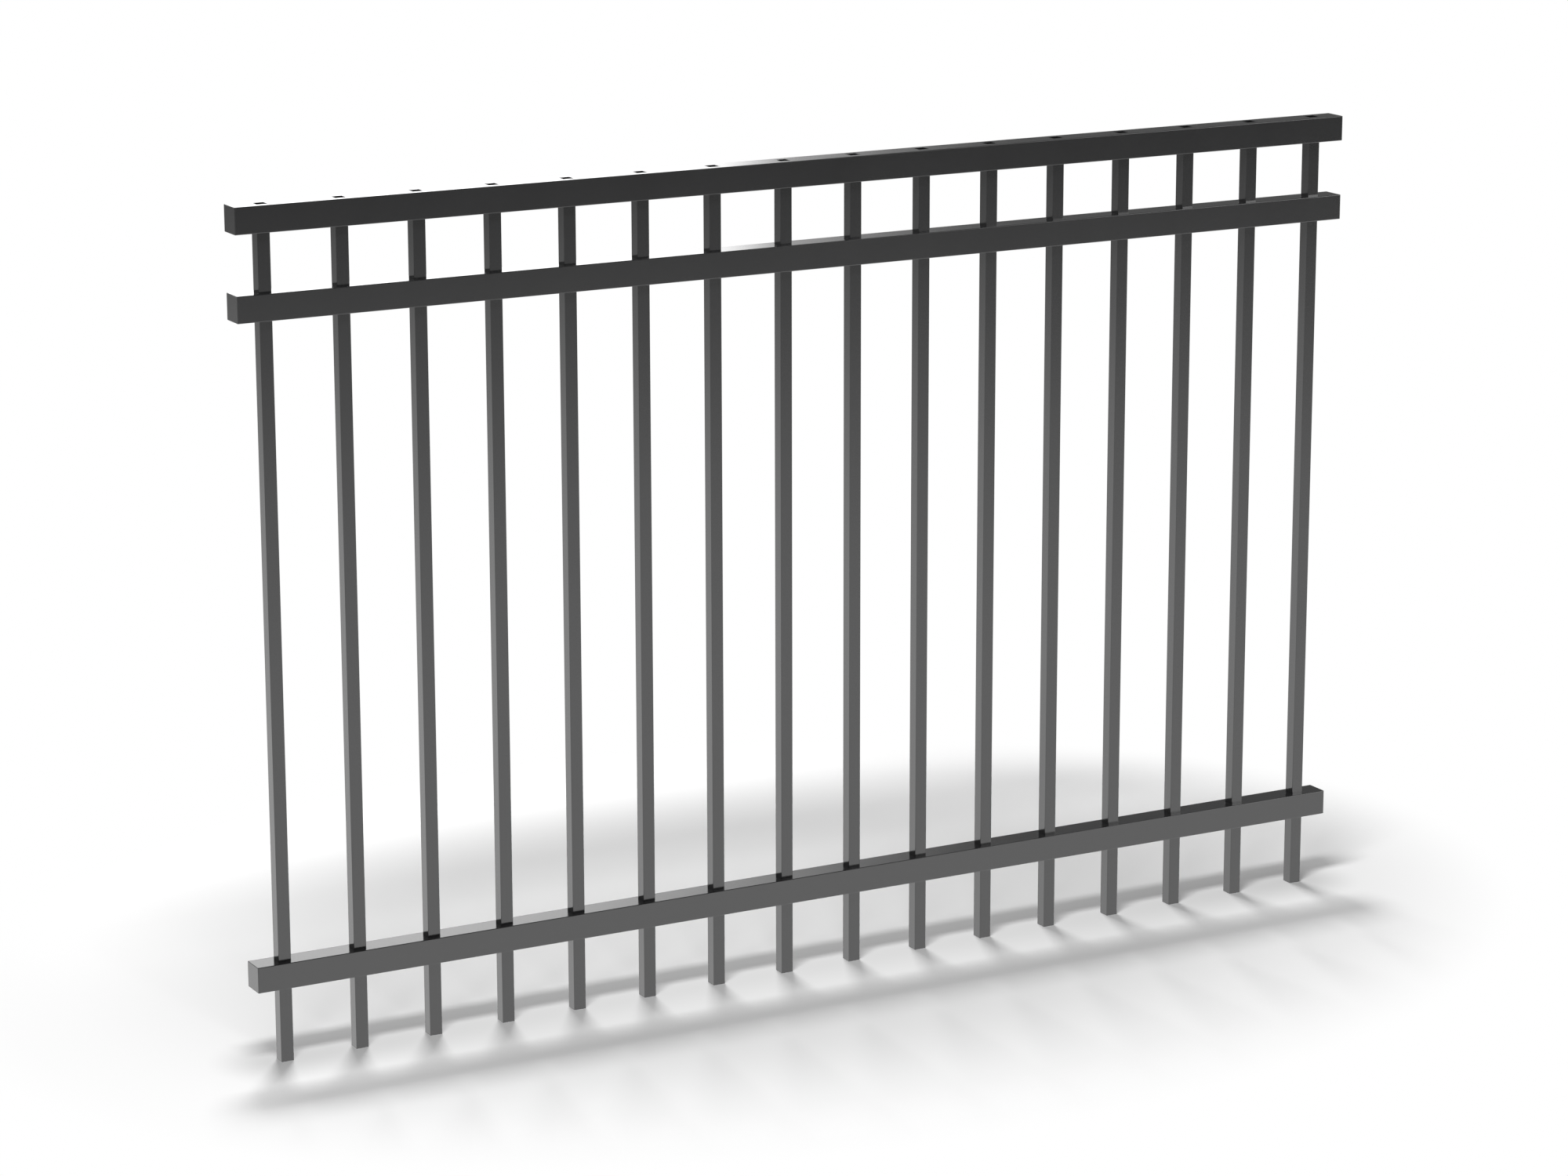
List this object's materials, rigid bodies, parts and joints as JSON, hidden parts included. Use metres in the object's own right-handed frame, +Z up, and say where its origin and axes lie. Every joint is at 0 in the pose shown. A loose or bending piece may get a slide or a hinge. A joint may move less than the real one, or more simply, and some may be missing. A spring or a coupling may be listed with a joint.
{
  "type": "metal fence panel",
  "caption": "Flat-topped open fence panel of square tube pickets threaded through three hollow box rails, with capped rail ends to fasten between posts.",
  "frame": {"origin": "centre of the bottom rail's left end face, where the panel meets its post", "axes": "+X along the rails to the right end, +Y from the viewer's side through the panel, +Z up the pickets"},
  "size_m": [1.8288, 0.0382, 1.2319],
  "materials": {
    "coated_aluminium": "gloss",
    "cap_plastic": "gloss"
  },
  "bodies": {
    "root": {"bottom_rail": "coated_aluminium", "upper_rail": "coated_aluminium", "top_rail": "coated_aluminium", "picket_01": "coated_aluminium", "picket_02": "coated_aluminium", "picket_03": "coated_aluminium", "picket_04": "coated_aluminium", "picket_05": "coated_aluminium", "picket_06": "coated_aluminium", "picket_07": "coated_aluminium", "picket_08": "coated_aluminium", "picket_09": "coated_aluminium", "picket_10": "coated_aluminium", "picket_11": "coated_aluminium", "picket_12": "coated_aluminium", "picket_13": "coated_aluminium", "picket_14": "coated_aluminium", "picket_15": "coated_aluminium", "picket_16": "coated_aluminium", "bottom_rail_left_cap": "cap_plastic", "bottom_rail_right_cap": "cap_plastic", "upper_rail_left_cap": "cap_plastic", "upper_rail_right_cap": "cap_plastic", "top_rail_left_cap": "cap_plastic", "top_rail_right_cap": "cap_plastic"}
  },
  "joints": []
}
